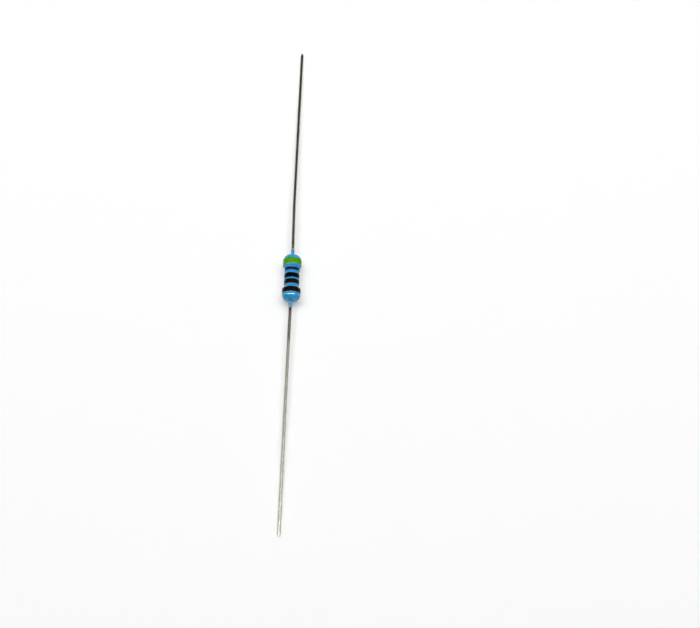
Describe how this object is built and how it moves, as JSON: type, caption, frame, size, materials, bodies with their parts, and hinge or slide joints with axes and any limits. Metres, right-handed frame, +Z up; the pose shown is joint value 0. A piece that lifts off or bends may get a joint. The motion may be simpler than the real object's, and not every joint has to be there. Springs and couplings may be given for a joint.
{
  "type": "resistor",
  "caption": "Axial-lead film resistor: glossy blue dog-bone body with green, dark blue, black and brown colour bands and a long tinned wire at each end.",
  "frame": {"origin": "centre of the body on its axis, which is also the middle of the whole part's box", "axes": "+X along the body's axis towards the end with the first (green) band, +Z up as the part lies on a surface, +Y to the left seen from the last band's end"},
  "size_m": [0.0624, 0.0022, 0.0022],
  "materials": {
    "alumina": "fired, matt",
    "metal_film": "thin sputtered metal",
    "plated_steel": "plated, drawn",
    "tinned_wire": "tin plated, satin",
    "blue_lacquer": "glossy epoxy lacquer",
    "green_paint": "printed ring, satin gloss",
    "dark_blue_paint": "printed ring, satin gloss",
    "black_paint": "printed ring, satin gloss",
    "brown_paint": "printed ring, satin gloss"
  },
  "bodies": {
    "root": {"ceramic_core": "alumina", "resistive_film": "metal_film", "first_end_cap": "plated_steel", "last_end_cap": "plated_steel", "first_lead": "tinned_wire", "last_lead": "tinned_wire", "lacquer_coat": "blue_lacquer", "band_green": "green_paint", "band_blue": "dark_blue_paint", "band_black": "black_paint", "band_brown_multiplier": "brown_paint", "band_brown_tolerance": "brown_paint"}
  },
  "joints": []
}
